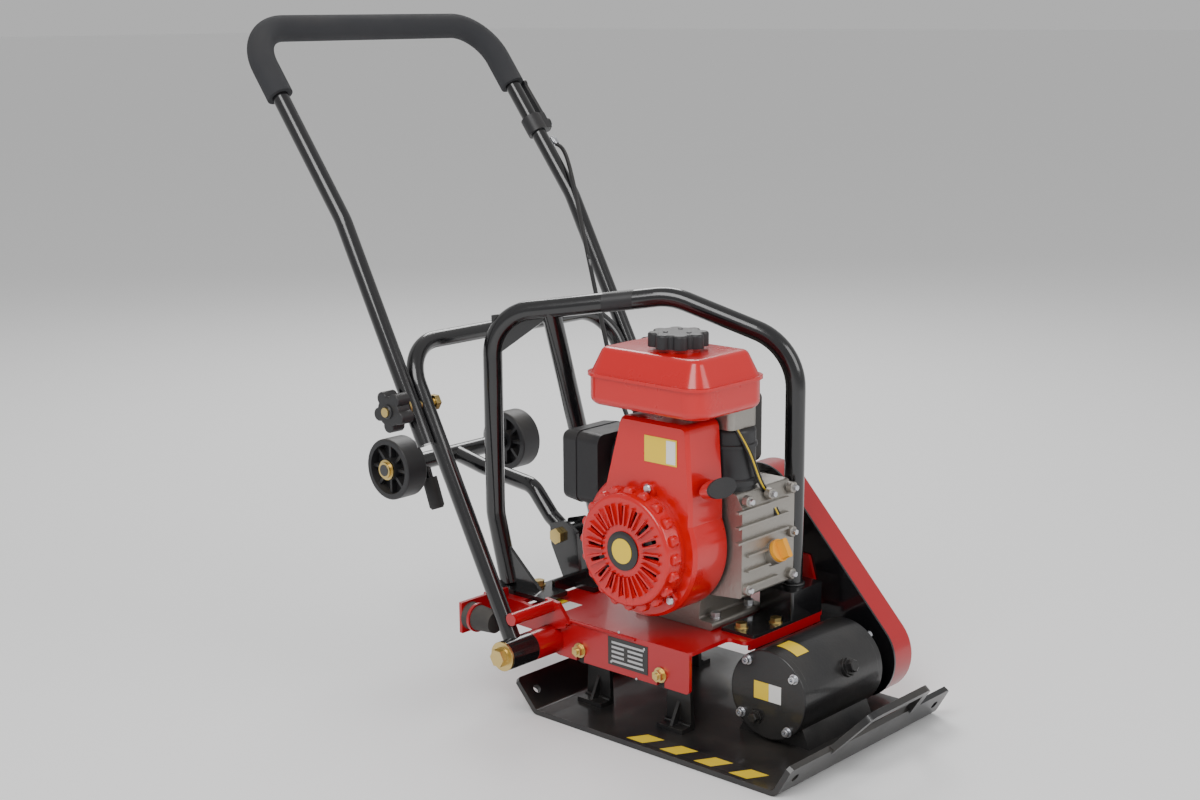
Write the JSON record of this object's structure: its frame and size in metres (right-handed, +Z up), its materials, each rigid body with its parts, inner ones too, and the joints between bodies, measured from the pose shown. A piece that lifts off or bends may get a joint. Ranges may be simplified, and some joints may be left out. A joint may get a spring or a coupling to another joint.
{
  "type": "vibratory plate compactor",
  "caption": "Petrol vibratory plate compactor with belt-driven exciter, tube guard, folding handle and fold-down transport wheels.",
  "frame": {"origin": "centre of the base plate's sole", "axes": "+X the way the machine travels, +Y its left (belt guard) side, +Z up"},
  "size_m": [0.9136, 0.516, 0.8595],
  "materials": {
    "plate_black": "satin",
    "cast_black": "satin",
    "screw_zinc": "satin",
    "screw_gold": "satin",
    "bearing_steel": "polished",
    "shaft_steel": "satin",
    "pulley_iron": "matte",
    "deck_red": "gloss",
    "mount_rubber": "matte",
    "frame_black": "gloss",
    "engine_cast": "matte",
    "moulded_black": "satin",
    "engine_red": "gloss",
    "muffler_steel": "matte",
    "belt_rubber": "matte",
    "cable_black": "satin",
    "grip_red": "gloss",
    "dip_yellow": "satin",
    "foam_grey": "matte",
    "wheel_black": "satin"
  },
  "bodies": {
    "base": {"base_plate": "plate_black", "lifting_bail": "plate_black", "exciter_housing": "cast_black", "exciter_end_cover": "cast_black", "exciter_drive_cover": "cast_black", "exciter_cover_bolts": "screw_zinc", "exciter_bearings": "bearing_steel", "mount_uprights": "plate_black"},
    "exciter_rotor": {"eccentric_shaft": "shaft_steel", "exciter_pulley": "pulley_iron"},
    "deck": {"engine_deck": "deck_red", "pivot_tube": "deck_red", "pivot_bolts": "screw_gold", "rubber_mounts": "mount_rubber", "mount_nuts": "screw_gold", "rear_brackets": "deck_red", "handle_buffers": "mount_rubber", "rear_cross_bar": "frame_black", "carriage_pin": "screw_gold", "cage_frame": "frame_black", "cage_bolts": "screw_gold", "crankcase": "engine_cast", "crankcase_cover": "engine_cast", "engine_bolts": "screw_zinc", "cylinder_barrel": "engine_cast", "cylinder_head": "engine_cast", "front_casing": "moulded_black", "tank_bracket": "engine_cast", "fuel_tank": "engine_red", "fan_shroud": "engine_red", "recoil_housing": "engine_red", "carburettor": "engine_cast", "air_filter_box": "moulded_black", "air_filter_cover": "moulded_black", "muffler": "muffler_steel", "belt_guard_plate": "frame_black", "belt_guard_cover": "deck_red", "guard_bolts": "screw_gold", "v_belt": "belt_rubber", "throttle_cable": "cable_black"},
    "crank": {"crankshaft": "shaft_steel", "flywheel": "pulley_iron", "clutch_pulley": "pulley_iron"},
    "reel": {"recoil_reel": "moulded_black"},
    "pull_grip": {"recoil_grip": "grip_red"},
    "cap": {"fuel_cap": "moulded_black"},
    "dip_plug": {"dipstick": "dip_yellow"},
    "choke": {"choke_lever": "bearing_steel"},
    "lower_handle": {"lower_hoop": "frame_black", "handle_bolts": "screw_gold"},
    "upper_handle": {"upper_handle": "frame_black", "foam_grip": "foam_grey", "throttle_clamp": "moulded_black"},
    "right_knob": {"knob_right": "moulded_black"},
    "left_knob": {"knob_left": "moulded_black"},
    "throttle": {"throttle_lever": "moulded_black"},
    "carriage": {"carriage_frame": "frame_black"},
    "right_wheel": {"wheel_right": "wheel_black"},
    "left_wheel": {"wheel_left": "wheel_black"},
    "latch": {"carriage_latch": "deck_red"}
  },
  "joints": [
    {"name": "exciter_spin", "type": "hinge", "parent": "base", "child": "exciter_rotor", "pos_m": [0.097, 0.02, 0.067], "axis": [0, 1, 0], "continuous": true},
    {"name": "deck_bounce", "type": "slide", "parent": "base", "child": "deck", "axis": [0, 0, 1], "range_m": [-0.003, 0.003], "stiffness_N_per_m": 240000, "springref_m": 0.0014, "deforming": ["rubber_mounts", "v_belt"]},
    {"name": "crank_spin", "type": "hinge", "parent": "deck", "child": "crank", "pos_m": [-0.06, 0, 0.233], "axis": [0, 1, 0], "continuous": true},
    {"name": "reel_turn", "type": "hinge", "parent": "deck", "child": "reel", "pos_m": [-0.06, -0.13, 0.233], "axis": [0, 1, 0], "range_deg": [0, 110], "stiffness_Nm_per_rad": 0.05, "springref_deg": -57.3},
    {"name": "rope_pull", "type": "slide", "parent": "deck", "child": "pull_grip", "axis": [0.9578, 0, 0.2873], "range_m": [0, 0.09]},
    {"name": "cap_turn", "type": "hinge", "parent": "deck", "child": "cap", "pos_m": [-0.025, -0.08, 0.48], "axis": [0, 0, 1], "range_deg": [0, 90]},
    {"name": "dipstick_turn", "type": "hinge", "parent": "deck", "child": "dip_plug", "pos_m": [0.046, 0.015, 0.216], "axis": [0.8944, 0, 0.4472], "continuous": true},
    {"name": "choke_swing", "type": "hinge", "parent": "deck", "child": "choke", "pos_m": [-0.14, -0.044, 0.326], "axis": [0, -1, 0], "range_deg": [0, 50]},
    {"name": "handle_tilt", "type": "hinge", "parent": "deck", "child": "lower_handle", "pos_m": [-0.192, 0, 0.089], "axis": [0, 1, 0], "range_deg": [0, 5]},
    {"name": "handle_fold", "type": "hinge", "parent": "lower_handle", "child": "upper_handle", "pos_m": [-0.34693, 0, 0.38037], "axis": [0, 1, 0], "range_deg": [0, 125], "deforming": ["throttle_cable"]},
    {"name": "knob_right_turn", "type": "hinge", "parent": "upper_handle", "child": "right_knob", "pos_m": [-0.34693, -0.24, 0.38037], "axis": [0, -1, 0], "continuous": true},
    {"name": "knob_left_turn", "type": "hinge", "parent": "upper_handle", "child": "left_knob", "pos_m": [-0.34693, 0.24, 0.38037], "axis": [0, 1, 0], "continuous": true},
    {"name": "throttle_turn", "type": "hinge", "parent": "upper_handle", "child": "throttle", "pos_m": [-0.53922, 0.235, 0.69984], "axis": [0, 1, 0], "range_deg": [0, 70]},
    {"name": "carriage_swing", "type": "hinge", "parent": "deck", "child": "carriage", "pos_m": [-0.28, 0, 0.183], "axis": [0, -1, 0], "range_deg": [0, 105]},
    {"name": "wheel_right_spin", "type": "hinge", "parent": "carriage", "child": "right_wheel", "pos_m": [-0.495, -0.11, 0.258], "axis": [0, 1, 0], "continuous": true},
    {"name": "wheel_left_spin", "type": "hinge", "parent": "carriage", "child": "left_wheel", "pos_m": [-0.495, 0.11, 0.258], "axis": [0, 1, 0], "continuous": true},
    {"name": "latch_turn", "type": "hinge", "parent": "deck", "child": "latch", "pos_m": [-0.276, 0.023, 0.152], "axis": [0, 1, 0], "range_deg": [-20, 20]}
  ],
  "couplings": [
    {"joint": "exciter_spin", "follows": "crank_spin", "ratio": 1.5},
    {"joint": "rope_pull", "follows": "reel_turn", "m_per_rad": 0.045}
  ]
}
